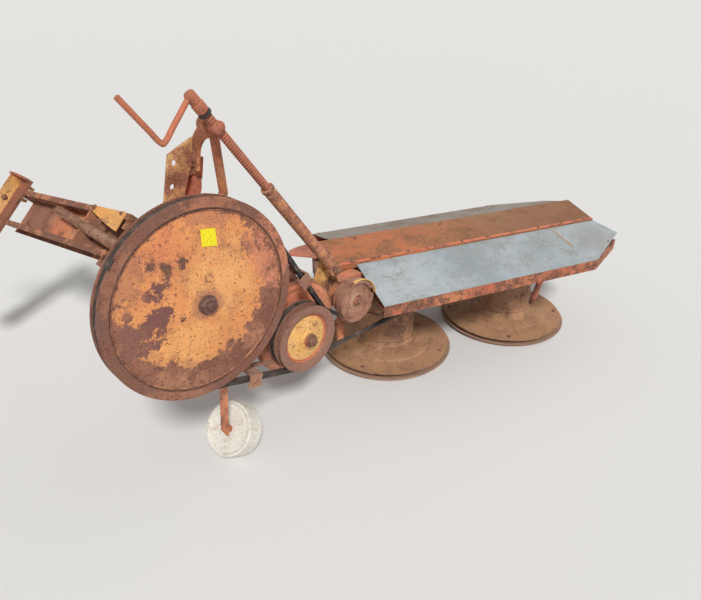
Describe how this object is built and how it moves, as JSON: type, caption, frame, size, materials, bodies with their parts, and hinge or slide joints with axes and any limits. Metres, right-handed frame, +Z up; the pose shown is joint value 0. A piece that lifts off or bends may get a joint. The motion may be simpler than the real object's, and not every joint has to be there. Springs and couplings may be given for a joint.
{
  "type": "drum mower",
  "caption": "Rear-mounted drum mower with a large flat drive pulley, twisted belt drive, cutter drums under a sheet-metal hood, a crank-screw lift and a tilting hitch frame.",
  "frame": {"origin": "centre of the overall box on the ground", "axes": "+X across the machine toward the drums, +Y forward in travel toward the hitch, +Z up"},
  "size_m": [2.595, 2.0484, 1.292],
  "materials": {
    "orange_paint": "worn orange paint over rust",
    "red_paint": "worn red paint over rust",
    "yellow_paint": "worn yellow paint over rust",
    "bare_steel": "brown rust",
    "galvanised_sheet": "dull zinc",
    "belt_rubber": "dusty",
    "white_paint": "chalky white paint with rust spots"
  },
  "bodies": {
    "carrier": {"shaft_housing": "bare_steel", "wheel_leg": "orange_paint", "mast_plate_left": "yellow_paint", "mast_plate_right": "red_paint", "mast_brace": "orange_paint", "mast_head": "red_paint"},
    "headstock": {"hitch_rail_near": "orange_paint", "hitch_rail_far": "orange_paint", "hitch_collar_rear": "orange_paint", "hitch_collar_front": "orange_paint", "hitch_floor": "red_paint", "hitch_cover": "yellow_paint", "hitch_cross_channel": "yellow_paint", "link_pin_left": "bare_steel", "link_pin_right": "bare_steel"},
    "drive": {"drive_pulley": "orange_paint", "drive_shaft": "bare_steel", "pulley_nut": "bare_steel"},
    "wheel": {"support_wheel": "white_paint"},
    "mower": {"swing_arm": "red_paint", "axle_hanger": "orange_paint", "belt_guard": "orange_paint", "drive_belt": "belt_rubber", "drum_belt": "belt_rubber", "upper_belt_guide": "bare_steel", "lower_belt_guide": "bare_steel", "gear_beam": "red_paint", "beam_bracket": "red_paint", "hood_top_plate": "red_paint", "hood_near_sheet": "galvanised_sheet", "hood_far_sheet": "galvanised_sheet", "frame_near": "red_paint", "frame_far": "red_paint", "hood_bracket_left": "red_paint", "hood_bracket_right": "red_paint", "drop_rod": "red_paint"},
    "driven": {"driven_pulley": "yellow_paint"},
    "idler": {"idler_pulley": "bare_steel"},
    "drum_a": {"drum_1": "bare_steel"},
    "drum_b": {"drum_2": "bare_steel"},
    "dish_a": {"skid_dish_1": "bare_steel"},
    "dish_b": {"skid_dish_2": "bare_steel"},
    "spindle": {"screw": "bare_steel", "crank_handle": "bare_steel"},
    "sleeve": {"screw_sleeve": "yellow_paint"}
  },
  "joints": [
    {"name": "headstock_swing", "type": "hinge", "parent": "carrier", "child": "headstock", "pos_m": [-0.84751, -0.14574, 0.721], "axis": [0, 1, 0], "range_deg": [-10, 42]},
    {"name": "pulley_spin", "type": "hinge", "parent": "carrier", "child": "drive", "pos_m": [-0.84751, -0.54574, 0.721], "axis": [0, 1, 0], "continuous": true},
    {"name": "wheel_roll", "type": "hinge", "parent": "carrier", "child": "wheel", "pos_m": [-0.73701, -0.43574, 0.09942], "axis": [0.7904, 0.1465, -0.5948], "continuous": true},
    {"name": "mower_lift", "type": "hinge", "parent": "carrier", "child": "mower", "pos_m": [-0.84751, -0.42574, 0.721], "axis": [0, -1, 0], "range_deg": [0, 20]},
    {"name": "driven_pulley_spin", "type": "hinge", "parent": "mower", "child": "driven", "pos_m": [-0.46751, -0.52574, 0.421], "axis": [0, 1, 0], "continuous": true},
    {"name": "idler_pulley_spin", "type": "hinge", "parent": "mower", "child": "idler", "pos_m": [-0.21251, -0.52574, 0.474], "axis": [0, 1, 0], "continuous": true},
    {"name": "drum_1_spin", "type": "hinge", "parent": "mower", "child": "drum_a", "pos_m": [0.18949, -0.35174, 0.3], "axis": [0, 0, 1], "continuous": true},
    {"name": "drum_2_spin", "type": "hinge", "parent": "mower", "child": "drum_b", "pos_m": [0.82095, -0.59997, 0.3], "axis": [0, 0, 1], "continuous": true},
    {"name": "dish_1_spin", "type": "hinge", "parent": "mower", "child": "dish_a", "pos_m": [0.18949, -0.35174, 0.01], "axis": [0, 0, 1], "continuous": true},
    {"name": "dish_2_spin", "type": "hinge", "parent": "mower", "child": "dish_b", "pos_m": [0.82095, -0.59997, 0.01], "axis": [0, 0, 1], "continuous": true},
    {"name": "screw_tilt", "type": "hinge", "parent": "carrier", "child": "spindle", "pos_m": [-0.69851, -0.48574, 1.178], "axis": [0, -1, 0], "range_deg": [0, 12.6]},
    {"name": "screw_travel", "type": "slide", "parent": "spindle", "child": "sleeve", "axis": [-0.5982, 0, 0.8014], "range_m": [0, 0.1452]}
  ],
  "couplings": [
    {"joint": "screw_tilt", "follows": "mower_lift", "ratio": 0.63},
    {"joint": "screw_travel", "follows": "mower_lift", "m_per_rad": 0.416},
    {"joint": "driven_pulley_spin", "follows": "pulley_spin", "ratio": 2.479},
    {"joint": "idler_pulley_spin", "follows": "pulley_spin", "ratio": -3.782},
    {"joint": "drum_1_spin", "follows": "pulley_spin", "ratio": -1.844},
    {"joint": "drum_2_spin", "follows": "pulley_spin", "ratio": 1.844}
  ]
}
